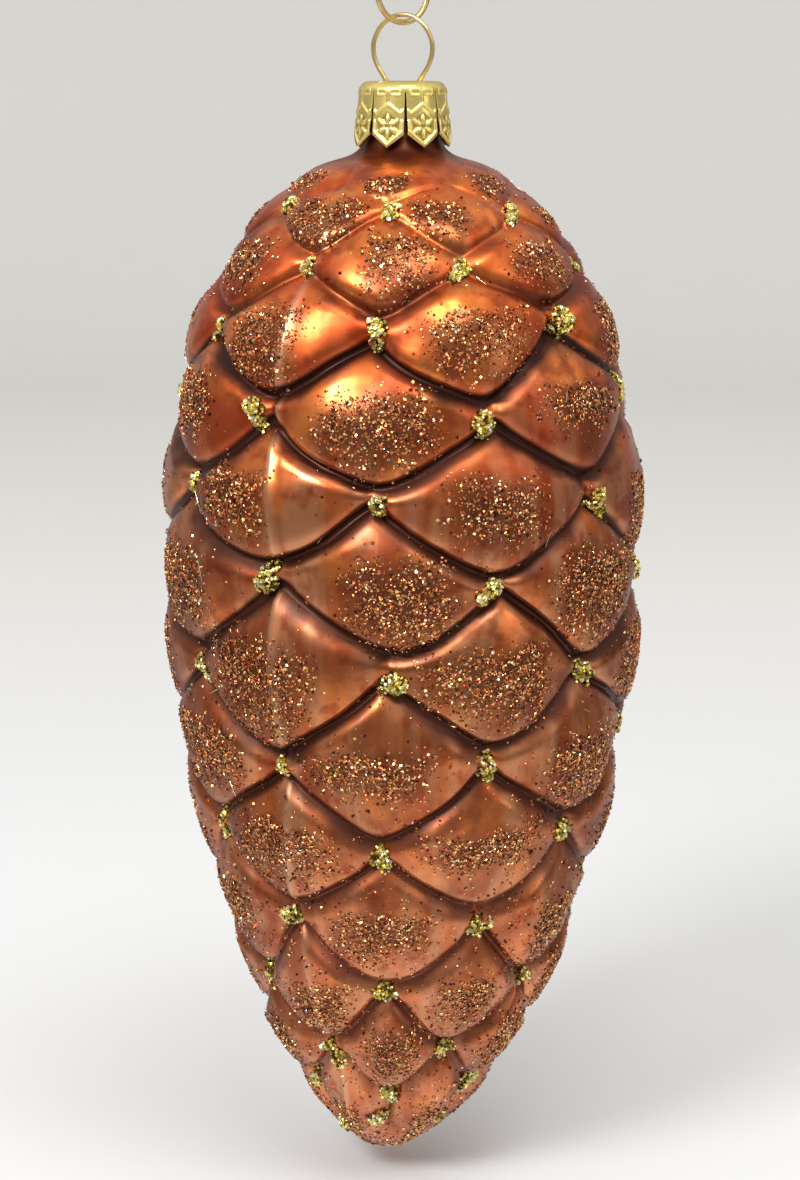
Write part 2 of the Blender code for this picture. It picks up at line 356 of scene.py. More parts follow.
def scale_height(row, angle, along):
    """Height of one row's scales over the outline, in millimetres. Most of it is negative."""
    across, _ = scale_place(row, angle)
    up = (tips[row] - along) / (pitches[row] + pitches[max(row - 1, 0)])
    above = np.clip((up - CREST) / (1 - CREST), 0, TOP_REACH)
    below = np.clip(1 - up / CREST, 0, 1)
    face = -SIDE_DROP * np.abs(across) ** SIDE_POWER
    face -= TOP_DROP * above ** TOP_POWER
    face -= LIP_DROP * below ** 2
    if row:
        under = np.maximum(along - lip_line(row - 1, angle), 0) * SLANT
        face += RIM * np.exp(-((under - RIM_PLACE) / RIM_WIDTH) ** 2)
        face -= GROOVE * np.exp(-((under / GROOVE_WIDTH) ** 2))
    if row == LAST:
        return face
    over = (along - lip_line(row, angle)) / LIP_ROUND
    return face - LIP_SLOPE * LIP_ROUND * np.logaddexp(0, over)


def surface_height(angle, along):
    """Height of the highest scales over the outline, which row owns it, and their strength."""
    heights = np.stack([scale_height(row, angle, along) for row in range(len(tips))])
    top = heights.max(0)
    soft = top + np.log(np.exp(SHARPNESS * (heights - top)).sum(0)) / SHARPNESS
    radius, depth, _, _ = on_outline(along)
    strength = np.clip((depth - SHOULDER[0]) / (SHOULDER[1] - SHOULDER[0]), 0, 1)
    strength = strength * smoothstep(radius, *END_FADE)
    return soft * strength, heights.argmax(0), strength


print(len(tips), "rows of", SCALES, "scales, most of them", np.median(pitches).round(1), "mm apart")


# %% [markdown]
# Where the glitter goes
#
# Every scale was brushed with glue below its middle and dipped in copper glitter, which left a
# patch with a sharp upper edge and a lower edge that thins out towards the lip. One function says
# how thickly any spot is covered. It is used twice: it darkens the lacquer under the glue, and it
# decides which of many random spots get a flake.

# %% Where the glitter goes
FIRST_GLITTER = 2
by_scale = (len(tips), SCALES)
patch_side = rng.normal(0, 0.07, by_scale)
patch_up = rng.normal(0.36, 0.035, by_scale)
patch_wide = rng.uniform(0.32, 0.48, by_scale)
patch_high = rng.uniform(0.11, 0.19, by_scale)
patch_bend = rng.uniform(-0.012, 0.03, by_scale)
# Row and place round, then sideways, up, width and height of the patches that the front shows best.
for row, which, *shape in (
    (3, 5, 0.0, 0.36, 0.62, 0.24), (3, 0, -0.25, 0.36, 0.45, 0.16), (4, 0, 0.15, 0.36, 0.45, 0.22),
    (5, 5, -0.05, 0.36, 0.42, 0.2), (5, 0, 0.05, 0.38, 0.52, 0.16), (6, 5, -0.1, 0.42, 0.4, 0.15),
    (6, 0, 0.02, 0.38, 0.5, 0.17), (6, 1, -0.1, 0.42, 0.5, 0.09), (7, 5, -0.25, 0.42, 0.34, 0.15),
    (7, 0, 0.0, 0.42, 0.4, 0.14), (8, 0, 0.03, 0.37, 0.45, 0.2), (8, 5, -0.1, 0.4, 0.45, 0.17),
    (9, 5, -0.1, 0.38, 0.5, 0.21), (9, 0, -0.08, 0.38, 0.62, 0.16), (10, 0, -0.08, 0.4, 0.56, 0.1),
    (11, 5, 0.0, 0.38, 0.52, 0.14), (11, 0, 0.0, 0.44, 0.56, 0.09), (12, 0, -0.1, 0.38, 0.5, 0.12),
):
    for table, value in zip((patch_side, patch_up, patch_wide, patch_high), shape):
        table[row, which] = value
GLUE_HOLDS = 0.9  # share of a patch's width, because the edges of the glue were already dry
patch_wide *= GLUE_HOLDS
CLUMP_SIZE = 3.2
SIDE_WAVE, END_WAVE = 0.25, 0.35
SHARP_EDGE, SOFT_EDGE = 5, 2.5


def noise_at(points, size):
    """Smooth noise, about -1 to 1, at points in millimetres, with features of about a size."""
    return np.array([noise.noise(Vector(p) / size) for p in points])


def glue_cover(row, angle, along, clumps):
    """How thickly glue and glitter cover a spot of a row, from 0 to 1."""
    across, which = scale_place(row, angle)
    up = (tips[row] - along) / (pitches[row] + pitches[row - 1])
    x = (across - patch_side[row][which]) / patch_wide[row][which] + SIDE_WAVE * clumps
    middle = patch_up[row][which] + patch_bend[row][which] * (x * x - 0.5)
    y = (up - middle) / patch_high[row][which] + END_WAVE * clumps
    upper, lower = np.exp(-np.abs(y) ** SHARP_EDGE), np.exp(-0.5 * np.abs(y) ** SOFT_EDGE)
    return np.exp(-np.abs(x) ** SHARP_EDGE) * np.where(y > 0, upper, lower)


# %% [markdown]
# Relief and lips
#
# The mould leaves a fine raised seam on two sides, and hot glass keeps a slight unevenness. The
# distance to the nearest lip tells where dark shade is painted into the groove below each lip.

# %% Relief and lips
SEAM_ANGLES = (-33.0, 147.0)
SEAM_HEIGHT, SEAM_WIDTH = 0.36, 0.55
UNEVEN = ((0.4, 14.0), (0.12, 5.0))


def relief(angle, along):
    """Height of the finished glass over the outline, which row owns it, and the seam's share."""
    height, owner, strength = surface_height(angle, along)
    radius = on_outline(along)[0]
    arc = radius[:, None] * np.radians((angle[:, None] - SEAM_ANGLES + 180) % 360 - 180)
    seam = np.exp(-((arc / SEAM_WIDTH) ** 2)).sum(1)
    skin = skin_points(angle, along, 0)
    uneven = sum(high * noise_at(skin, size) for high, size in UNEVEN)
    return height + strength * (uneven + SEAM_HEIGHT * seam), owner, seam * strength


def lip_distance(angle, along):
    """Distance to the nearest lip in millimetres, positive below it."""
    step = 0.2
    arc = np.radians(2 * step) * np.maximum(on_outline(along)[0], 1)
    nearest = np.full(angle.shape, np.inf)
    for row in range(LAST):
        slope = (lip_line(row, angle + step) - lip_line(row, angle - step)) / arc
        gap = (along - lip_line(row, angle)) / np.hypot(1, slope)
        nearest = np.where(np.abs(gap) < np.abs(nearest), gap, nearest)
    return nearest


# %% [markdown]
# The glass
#
# The body starts as a tube of unit rings from bmesh's spin, and each ring is then sent to its place
# on the skin. The rings between one row of lips and the next follow those lips and crowd together
# near them, so the narrow grooves get many small faces and the calm middle of each scale gets few.
# A smooth inner skin makes it a real hollow body.

# %% The glass
COLUMNS = 336
RINGS_PER_ROW = 14
NECK_RINGS, END_RINGS, INSIDE_RINGS = 14, 20, 24
CROWDING, INSIDE_CROWDING = 0.62, 1.6
WALL, HOLLOW = 0.8, 3.2  # the smooth inner skin lies deeper than the wall behind the scales
# Painted shade in the groove below each lip: the rows over which it narrows, its widths, and how
# far it reaches above the lip.
SHADE_ROWS, SHADE_WIDTHS, ABOVE_LIP = (8, 14), (3.3, 1.6), 0.4
SHADE_CORE, DROP_CORE = 0.3, 0.6
SHADE_WAVE, SHADE_FADE = 0.5, 1.5
# The neck under the cap is painted dark as shade, fading out between these depths.
NECK_SHADE, NECK_END = 0.85, (8.5, 11.5)
# Two drops of dark lacquer at the left of the front: angle, way below the row's tips, and radius.
DROP_ROW = 5
DARK_DROPS = ((-32.0, 6.2, 1.3), (-27.0, 5.0, 1.2))
BAKE_MAP = "OFBake"


def rings_on_skin(angles):
    """Distances along the side line for every ring of the outside, one row per ring."""
    first, last = lip_line(0, angles), lip_line(LAST - 1, angles)
    rings = [first * t for t in np.linspace(0, 1, NECK_RINGS, endpoint=False)]
    for row in range(LAST - 1):
        upper, lower = lip_line(row, angles), lip_line(row + 1, angles)
        for t in np.linspace(0, 1, RINGS_PER_ROW, endpoint=False):
            crowded = t - CROWDING * math.sin(math.tau * t) / math.tau
            rings.append(upper + (lower - upper) * crowded)
    rings += [last + (BODY_LENGTH - last) * t for t in np.linspace(0, 1, END_RINGS)]
    return np.array(rings)


def unit_tube(rings, columns, closed):
    """A spun tube with one ring for each whole height. The closed rings become points."""
    bm = spun_line([(1, 0, -ring) for ring in range(rings)], columns)
    for ring in closed:
        ends = [v for v in bm.verts if abs(v.co.z + ring) < 0.1]
        bmesh.ops.pointmerge(bm, verts=ends, merge_co=(0, 0, -ring))
    mesh = mesh_from(bm, "tube")
    co = points_of(mesh)
    turn = np.degrees(np.arctan2(co[:, 1], co[:, 0])) / 360 * columns
    return mesh, np.rint(-co[:, 2]).astype(int), np.rint(turn).astype(int) % columns


def outward(mesh):
    bm = bmesh.new()
    bm.from_mesh(mesh)
    bmesh.ops.recalc_face_normals(bm, faces=bm.faces)
    bm.to_mesh(mesh)
    bm.free()


def lay_out_tube(mesh, ring, column, columns):
    """Unrolls a tube flat on a sheet, so that its pattern can be painted without stretching."""
    corner = np.empty(len(mesh.loops), int)
    mesh.loops.foreach_get("vertex_index", corner)
    first, count = (np.empty(len(mesh.polygons), int) for _ in range(2))
    mesh.polygons.foreach_get("loop_start", first)
    mesh.polygons.foreach_get("loop_total", count)
    face = np.repeat(np.arange(len(first)), count)
    across = column[corner].astype(float)
    point = np.isin(ring[corner], (0, ring.max()))
    low = np.minimum.reduceat(np.where(point, columns, across), first)[face]
    high = np.maximum.reduceat(np.where(point, 0, across), first)[face]
    wraps = high - low > columns / 2
    across = np.where(wraps & (across < columns / 2), across + columns, across)
    centre = np.where(wraps, columns - 0.5, (low + high) / 2)
    sheet = np.stack([np.where(point, centre, across) / columns, ring[corner] / ring.max()], 1)
    mesh.uv_layers.new(name=BAKE_MAP).uv.foreach_set("vector", sheet.astype(np.float32).ravel())


def make_glass(material):
    angles = np.arange(COLUMNS) * 360.0 / COLUMNS
    outside = rings_on_skin(angles)[::-1]
    inside = BODY_LENGTH * np.linspace(0, 1, INSIDE_RINGS)[:, None] ** INSIDE_CROWDING
    rings = np.vstack([outside, inside * np.ones(COLUMNS)])
    mesh, ring, column = unit_tube(len(rings), COLUMNS, (0, len(rings) - 1))
    angle, along = angles[column], rings[ring, column]
    height, owner, seam = relief(angle, along)
    strength = surface_height(angle, along)[2]
    shift = np.where(ring < len(outside), height, -WALL - HOLLOW * strength)
    set_points(mesh, skin_points(angle, along, shift) * MM)
    clumps = noise_at(skin_points(angle, along, 0), CLUMP_SIZE)
    cover = np.zeros(len(angle))
    for row in range(FIRST_GLITTER, len(tips)):
        mine = owner == row
        cover[mine] = glue_cover(row, angle[mine], along[mine], clumps[mine])
    # Painted shade in the groove below each lip, darkest just under the lip and waved by the
    # glitter clumps.
    gap = lip_distance(angle, along)
    gap = np.where(gap > 0, gap * (1 - SHADE_WAVE * clumps), gap)
    wide = np.interp(owner, SHADE_ROWS, SHADE_WIDTHS)
    shade_and_drops = 1 - np.where(gap > 0, smoothstep(gap, SHADE_CORE * wide, wide),
                        smoothstep(-gap, 0.0, ABOVE_LIP))
    radius, depth, _, _ = on_outline(along)
    # The two dark drops are real marks of lacquer, painted with the same dark brown as the shade.
    for turn, below, size in DARK_DROPS:
        away = np.hypot(np.radians(angle - turn) * radius, along - tips[DROP_ROW] - below)
        shade_and_drops = np.maximum(shade_and_drops, 1 - smoothstep(away, DROP_CORE * size, size))
    # The neck under the cap is painted dark, as shade.
    neck = 1 - smoothstep(depth, *NECK_END)
    # How far up its scale a spot is; the upper part of each scale gets a lighter red as painted
    # light.
    up = (tips[owner] - along) / (pitches[owner] + pitches[owner - 1])
    point_attribute(mesh, "shade_and_drops", np.maximum(shade_and_drops * strength ** SHADE_FADE, neck * NECK_SHADE))
    point_attribute(mesh, "glue", cover)
    point_attribute(mesh, "up", np.clip(up, 0, 1))
    point_attribute(mesh, "seam", seam)
    lay_out_tube(mesh, ring, column, COLUMNS)
    outward(mesh)
    piece = place_mesh(mesh, "blown_glass", material, "ornament", 180.0)
    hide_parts("glass_cone")


# %% [markdown]
# Copper lacquer
#
# The glass is silvered on the inside and dipped in a translucent copper lacquer, so light passes
# the lacquer twice and comes back deep orange. The satin skin of the lacquer scatters a little of
# it. A metallic base of a strong colour with a middling roughness gives the glow, and a thin coat
# gives the skin. The lacquer is cloudy, spotted and runny in patches. Light and shade are painted
# in too: dark brown shade in the grooves and at the neck, a lighter red on the upper part of each
# scale, red above, duller brown shade from the middle down, a paler, rosier reflection of the floor
# near the tip, dull grey shade and reflection on the shoulder, a pale highlight on the seam, and
# bright mottling that is partly highlight.

# %% Copper lacquer
def attribute(tree, name):
    return add_node(tree, "ShaderNodeAttribute", attribute_name=name).outputs["Fac"]


def streaks(tree, scale, stretch):
    """Noise drawn out down the glass, as lacquer runs."""
    drawn = add_node(tree, "ShaderNodeMapping", {"Vector": object_place(tree),
                                                 "Scale": (1, 1, stretch)})
    return noise_texture(tree, drawn.outputs[0], scale, 3.0)


def copper_lacquer():
    material, tree, shader = new_material("copper_lacquer")
    shade_and_drop_mask, glued, seam_highlight, up = (attribute(tree, name) for name in ("shade_and_drops", "glue", "seam", "up"))
    height = add_node(tree, "ShaderNodeSeparateXYZ", {"Vector": object_place(tree)}).outputs["Z"]
    cloud = ramp(tree, noise_on_object(tree, 85.0, 4.0), 0.42, 0.62)
    spots = ramp(tree, noise_on_object(tree, 330.0, 2.0), 0.54, 0.66)
    runs = ramp(tree, streaks(tree, 300.0, 0.14), 0.45, 0.62)
    dark_runs = ramp(tree, streaks(tree, 190.0, 0.2), 0.5, 0.64)
    # Random bright orange mottling, partly the lacquer's own and partly painted highlight, stronger
    # on the upper body.
    mottle_and_highlight = ramp(tree, noise_on_object(tree, 150.0, 4.0, 0.6), 0.46, 0.58)
    # The shoulder under the cap is painted dark grey-purple: painted shade and a painted dull
    # reflection.
    shoulder_shade_and_reflection = ramp(tree, height, -0.019, -0.013)
    # The body is painted duller brown from the middle down as painted shade, and paler and rosier
    # near the tip as a painted reflection of the pale floor.
    lower_body_shade = ramp(tree, height, -0.045, -0.07)
    tip_floor_reflection = ramp(tree, height, -0.1, -0.125)
    # The upper part of each scale is painted a lighter red than its lower part, as painted light.
    upper = ramp(tree, up, 0.15, 0.5)
    red = colour_mix(tree, upper, (0.58, 0.11, 0.026), (0.82, 0.15, 0.02))
    brown = colour_mix(tree, upper, (0.34, 0.1, 0.038), (0.5, 0.125, 0.036))
    rosy = colour_mix(tree, upper, (0.56, 0.19, 0.09), (0.68, 0.2, 0.085))
    face = colour_mix(tree, tip_floor_reflection, colour_mix(tree, lower_body_shade, red, brown), rosy)
    mottled_and_highlit = colour_mix(tree, mottle_and_highlight, face, (1.0, 0.3, 0.06))
    face = colour_mix(tree, ramp(tree, lower_body_shade, 0, 1, 0.8, 0.35), face, mottled_and_highlit)
    cloudy = colour_mix(tree, lower_body_shade, (0.42, 0.035, 0.007), (0.27, 0.05, 0.015))
    milky_runs = multiply_add(tree, runs, ramp(tree, lower_body_shade, 0, 1, 0.1, 0.55), 0.0)
    for mask, most, tint in (
        (cloud, 0.8, cloudy), (milky_runs, 1.0, (0.62, 0.3, 0.15)),
        (dark_runs, 0.5, (0.2, 0.06, 0.022)), (spots, 0.6, (0.28, 0.035, 0.008)),
        # The seam's pale tint is a painted highlight along its ridge.
        (glued, 0.8, (0.12, 0.04, 0.018)), (seam_highlight, 0.6, (0.75, 0.4, 0.22)),
        (shoulder_shade_and_reflection, 0.8, (0.1, 0.045, 0.04)),
    ):
        face = colour_mix(tree, part_of(tree, mask, most), face, tint)
    # The colour of the painted shade in the grooves and at the neck, and of the dark drops: darkest
    # above, lighter below and near the tip.
    shade_and_drops = colour_mix(tree, lower_body_shade, (0.035, 0.01, 0.006), (0.07, 0.02, 0.01))
    shade_and_drops = colour_mix(tree, tip_floor_reflection, shade_and_drops, (0.2, 0.055, 0.028))
    satin = ramp(tree, cloud, 0, 1, 0.2, 0.38)
    set_inputs(tree, shader, {
        "Base Color": colour_mix(tree, shade_and_drop_mask, face, shade_and_drops),
        "Roughness": multiply_add(tree, shade_and_drop_mask, 0.2, satin),
        "Normal": fine_bump(tree, noise_on_object(tree, 200.0, 2.0), 0.2, 0.0004),
        "Metallic": 0.85, "Coat Weight": 0.08, "Coat Roughness": 0.2,
    })
    return material


make_glass(copper_lacquer())

# %% [markdown]
# Flakes and grains
#
# Glitter is thousands of tiny flat flakes, each tilted its own way, and that is what makes it
# sparkle. A bump map can't do that, because every flake needs its own mirror. So one low drum
# with four or five sides is repeated by an Array modifier, and then every copy is sent to its own
# place. Each copy also gets its own square of the painting sheet and its own tint.

# %% Flakes and grains
def small_drum(sides, thick, taper):
    bm = bmesh.new()
    bmesh.ops.create_cone(bm, cap_ends=True, segments=sides, radius1=1, radius2=taper, depth=thick)
    sheet = bm.loops.layers.uv.new(BAKE_MAP)
    for face in bm.faces:
        for loop in face.loops:
            loop[sheet].uv = loop.vert.co.xy * 0.45 + Vector((0.5, 0.5))
    return mesh_from(bm, "small_drum")


def many_copies(shape, count):
    first = add_object("first", shape)
    array = first.modifiers.new("copies", "ARRAY")
    array.use_relative_offset = False
    array.count = count
    depsgraph = bpy.context.evaluated_depsgraph_get()
    mesh = bpy.data.meshes.new_from_object(
        first.evaluated_get(depsgraph), preserve_all_data_layers=True, depsgraph=depsgraph)
    bpy.data.objects.remove(first)
    return mesh


def unit(vectors):
    return vectors / np.linalg.norm(vectors, axis=-1, keepdims=True)


def scatter(name, shape, places, normals, sizes, tilt, tints, material, long=(0.75, 1.35)):
    """One piece with a copy of a shape at every place, each turned, stretched and tinted."""
    count = len(places)
    mesh = many_copies(shape, count)
    up = unit(normals + rng.normal(0, tilt, (count, 3)))
    side = unit(np.cross(up, rng.normal(0, 1, (count, 3))))
    frames = np.stack([side, np.cross(up, side), up], 1) * sizes[:, None, None]
    frames[:, 0] *= rng.uniform(*long, (count, 1))
    set_points(mesh, (places[:, None] + points_of(shape) @ frames).reshape(-1, 3) * MM)
    grid = math.ceil(math.sqrt(count))
    cell = np.stack(np.divmod(np.arange(count), grid), 1)
    layer = mesh.uv_layers[BAKE_MAP].uv
    sheet = np.empty(len(layer) * 2, np.float32)
    layer.foreach_get("vector", sheet)
    sheet = (sheet.reshape(count, -1, 2) + cell[:, None]) / grid
    layer.foreach_set("vector", sheet.astype(np.float32).ravel())
    colours = np.hstack([tints, np.ones((count, 1))])
    point_attribute(mesh, "tint", np.repeat(colours, len(shape.vertices), 0), "FLOAT_COLOR")
    return place_mesh(mesh, name, material, "ornament", 0)


def pick_tints(palette, shares, count, spread=0.18):
    chosen = rng.choice(len(palette), count, p=np.array(shares) / sum(shares))
    return np.array(palette)[chosen] * rng.uniform(1 - spread, 1 + spread, (count, 1))


def on_glass(angle, along):
    """Points on the finished glass and the directions straight out of it."""
    step_angle, step_along = 0.3, 0.15
    here, right, down = (
        skin_points(a, s, relief(a, s)[0])
        for a, s in ((angle, along), (angle + step_angle, along), (angle, along + step_along)))
    return here, unit(np.cross(down - here, right - here))


def glitter_material(name, roughness):
    material, tree, shader = new_material(name)
    tint = add_node(tree, "ShaderNodeAttribute", attribute_name="tint").outputs["Color"]
    grain = ramp(tree, noise_on_object(tree, 2500.0, 2.0), 0.3, 0.7, 0.0, 0.4)
    set_inputs(tree, shader, {
        "Base Color": colour_mix(tree, grain, tint, (0.25, 0.1, 0.04), "MULTIPLY"),
        "Roughness": ramp(tree, grain, 0, 0.4, roughness, roughness + 0.15), "Metallic": 1.0,
    })
    return material


# %% [markdown]
# Copper glitter
#
# Random spots are thrown over each scale and kept where the glue is. A few strays stick anywhere,
# and more of them on the last rows, which hung lowest in the box of glitter. A few loose fibres of
# the same foils lie across the glass.

# %% Copper glitter
THROWN_PER_MM2 = 13.0
stray_per_mm2 = np.interp(range(len(tips)), LOW_ROWS, (0.14, 1.2))
BELOW_TIPS, BARE_SHOULDER = 1.0, 5.0
COARSE_SHARE, COARSE, FINE = 0.32, (0.18, 0.27), (0.1, 0.18)
FLAKE_LIFT, FLAKE_TILT = 0.14, 0.4
COPPER_TINTS = ((0.78, 0.3, 0.1), (0.7, 0.2, 0.11), (0.9, 0.52, 0.19), (0.16, 0.06, 0.025),
                (1.0, 0.8, 0.5))
COPPER_SHARES = (38, 14, 20, 20, 8)


def glitter_row(row, shape, material):
    wide = 2 * math.pi * on_outline(tips[row] - pitches[row])[0] / SCALES
    tall = pitches[row] + pitches[row - 1]
    thrown = int(wide * tall * THROWN_PER_MM2) * SCALES
    angle = rng.uniform(0, 360, thrown)
    along = tips[row] + BELOW_TIPS - rng.uniform(0, tall, thrown)
    clumps = noise_at(skin_points(angle, along, 0), CLUMP_SIZE)
    cover = glue_cover(row, angle, along, clumps) * THROWN_PER_MM2 + stray_per_mm2[row]
    keep = rng.uniform(0, THROWN_PER_MM2, thrown) < cover
    angle, along = angle[keep], along[keep]
    mine = surface_height(angle, along)[1] == row
    mine &= on_outline(along)[1] > TIP_DEPTHS[0] - BARE_SHOULDER
    here, normals = on_glass(angle[mine], along[mine])
    count = len(here)
    coarse = rng.uniform(0, 1, count) < COARSE_SHARE
    sizes = rng.uniform(*np.where(coarse, np.array(COARSE)[:, None], np.array(FINE)[:, None]))
    places = here + normals * rng.uniform(0.0, FLAKE_LIFT, (count, 1))
    scatter(f"glitter_row_{row - FIRST_GLITTER + 1:02d}", shape, places, normals, sizes, FLAKE_TILT,
            pick_tints(COPPER_TINTS, COPPER_SHARES, count), material)


flake = small_drum(sides=4, thick=0.3, taper=0.8)
copper_glitter = glitter_material("copper_glitter", 0.13)
for row in range(FIRST_GLITTER, len(tips)):
    glitter_row(row, flake, copper_glitter)
FIBRES, FIBRE_LIFT, FIBRE_TILT = 26, 0.25, 0.2
FIBRE_TINTS, FIBRE_SHARES = ((0.95, 0.8, 0.4), (0.95, 0.95, 0.9), (0.1, 0.75, 0.35)), (6, 3, 1)
fibre_spots, fibre_normals = on_glass(rng.uniform(0, 360, FIBRES), rng.uniform(30, 135, FIBRES))
scatter("loose_fibres", flake, fibre_spots + FIBRE_LIFT * fibre_normals, fibre_normals,
        rng.uniform(0.06, 0.08, FIBRES), FIBRE_TILT, pick_tints(FIBRE_TINTS, FIBRE_SHARES, FIBRES),
        copper_glitter, long=(9, 26))

# %% [markdown]
# Gold dabs
#
# Where four scales meet, a drop of glue was dipped in coarse greenish gold glitter. Each dab is
# two overlapping heaps of thick grains that hide the glue. The closed end has a few single heaps,
# given by their angle and by how far they are below the last lips.

# %% Gold dabs
DAB_BELOW_TIP, DAB_IN_ROW, DAB_SIZES = 2.5, 0.35, (1.3, 1.8)
CROWDED_PITCH, CROWDED_DAB, SECOND_HEAP = 8, 0.8, 0.75
END_MARGIN = 0.3
# The palest tint is a painted highlight and the darkest a painted shade between the grains.
GOLD_TINTS = ((0.85, 0.7, 0.15), (1.0, 0.9, 0.35), (1.0, 0.97, 0.65), (0.16, 0.12, 0.02))
GOLD_SHARES = (36, 34, 18, 12)
GRAINS_PER_HEAP = 70
GRAIN_SIZES, GRAIN_TILT, GRAIN_LIFT = (0.2, 0.36), 0.8, 0.25
HEAP_HEIGHT = 0.55
END_DABS = ((-12, 7.5), (52, 9.0), (-60, 11.5), (122, 8.0), (190, 7.0), (-105, 8.5))


def dab_spots():
    """Angle, distance along the side line, and size of every heap of grains."""
    spots = [(angle, tips[LAST - 1] + below, DAB_SIZES[0]) for angle, below in END_DABS]
    for row in range(FIRST_GLITTER, LAST):
        below = min(DAB_BELOW_TIP, pitches[row] * DAB_IN_ROW)
        shrink = 1 if pitches[row] > CROWDED_PITCH else CROWDED_DAB
        for which in range(SCALES):
            angle = PHASE + row_turns[row] + HALF * (row % 2 + 2 * which) + rng.normal(0, 1.2)
            size = rng.uniform(*DAB_SIZES) * shrink
            along = tips[row] + below + rng.normal(0, 0.4)
            spots.append((angle, along, size))
            beside, under = rng.normal(0, 1.6), rng.normal(0.3, 0.9)
            spots.append((angle + beside, along + under, size * SECOND_HEAP))
    return np.array(spots)


def heap_on_glass(spots, count):
    """Random places in a heap round each spot: points, normals, how far out each is, and size."""
    angle, along, size = np.repeat(spots, count, 0).T
    out = np.sqrt(rng.uniform(0, 1, len(angle)))
    way = rng.uniform(0, math.tau, len(angle))
    lean = np.repeat(rng.uniform(0, math.pi, len(spots)), count)
    long = np.repeat(rng.uniform(1.0, 1.35, len(spots)), count)
    a, b = out * np.cos(way) * long, out * np.sin(way) / long
    x = (a * np.cos(lean) - b * np.sin(lean)) * size
    y = (a * np.sin(lean) + b * np.cos(lean)) * size
    radius = np.maximum(on_outline(along)[0], 3)
    along = np.minimum(along + y, BODY_LENGTH - END_MARGIN)
    here, normals = on_glass(angle + np.degrees(x / radius), along)
    return here, normals, out, size


def make_dabs():
    here, normals, out, size = heap_on_glass(dab_spots(), GRAINS_PER_HEAP)
    count = len(here)
    lift = (1 - out ** 2) * size * HEAP_HEIGHT + rng.uniform(0.0, GRAIN_LIFT, count)
    scatter("gold_dab_grains", small_drum(sides=5, thick=0.9, taper=0.7),
            here + normals * lift[:, None], normals, rng.uniform(*GRAIN_SIZES, count), GRAIN_TILT,
            pick_tints(GOLD_TINTS, GOLD_SHARES, count), glitter_material("gold_grains", 0.25))


make_dabs()

# %% [markdown]
# The stamped cap
#
# The cap is a thin brass cup, slit into eight prongs that grip the neck. Each prong ends in a point
# and is stamped with a little six-petalled flower in a hexagon under a chevron. The cup could be
# cut from a plate and bent, but spinning a profile is simpler. The profile runs from the middle of
# the top, round a small corner and down the side.

# %% The shape of the cap
CAP_TOP_RADIUS, CAP_RIM_RADIUS, CAP_CORNER = 5.6, 6.35, 1.2
PRONG_SIDE, PRONG_TIP = 6.6, 8.25
TOP_RINGS, CORNER_RINGS, SIDE_RINGS = 7, 8, 60


def cap_profile():
    """Radius, depth and outward direction for every ring, from the middle of the top down."""
    top = [((CAP_TOP_RADIUS - CAP_CORNER) * t, 0) for t in np.linspace(0, 1, TOP_RINGS)]
    turns = np.linspace(0, math.pi / 2, CORNER_RINGS)[1:]
    corner = [(CAP_TOP_RADIUS - CAP_CORNER * (1 - math.sin(t)), CAP_CORNER * (1 - math.cos(t)))
              for t in turns]
    slope = (CAP_RIM_RADIUS - CAP_TOP_RADIUS) / (PRONG_TIP - CAP_CORNER)
    side = [(CAP_TOP_RADIUS + slope * (d - CAP_CORNER), d)
            for d in np.linspace(CAP_CORNER, PRONG_SIDE, SIDE_RINGS)[1:]]
    line = np.array([*top, *corner, *side])
    tilt = np.r_[np.zeros(TOP_RINGS), turns, np.full(SIDE_RINGS - 1, math.pi / 2)]
    return line, np.stack([np.sin(tilt), -np.cos(tilt)], 1), slope


# %% [markdown]
# The stamping
#
# The pattern is drawn as a few straight ridges, a sunk hexagon and six petals, all in millimetres
# on half a prong. The other half is its mirror image. A ridge has two ends, a width and a height.

# %% The stamping
RIDGES = (
    ((0.36, 0.95), (1.55, 0.95), 0.09, 0.10), ((1.55, 0.95), (1.55, 1.6), 0.09, 0.10),
    ((1.55, 1.6), (0.36, 1.6), 0.09, 0.10), ((0.36, 1.6), (0.36, 0.95), 0.09, 0.10),
    ((0.0, 1.1), (0.0, 3.0), 0.10, 0.12),
    ((0.0, 2.75), (1.65, 4.0), 0.17, 0.16), ((1.65, 4.0), (1.95, 3.6), 0.17, 0.14),
    ((1.9, 4.9), (1.95, 6.2), 0.15, 0.12), ((1.95, 6.2), (0.0, 7.85), 0.17, 0.14),
)
FIELD_SUNK, FIELD_EDGE = 0.12, 0.2
RIDGE_TOP, RIDGE_FOOT = 0.5, 1.3
FLOWER_DEPTH, PETAL_REACH, PETAL_LONG, PETAL_WIDE, PETAL_HIGH = 5.6, 0.92, 0.72, 0.34, 0.24


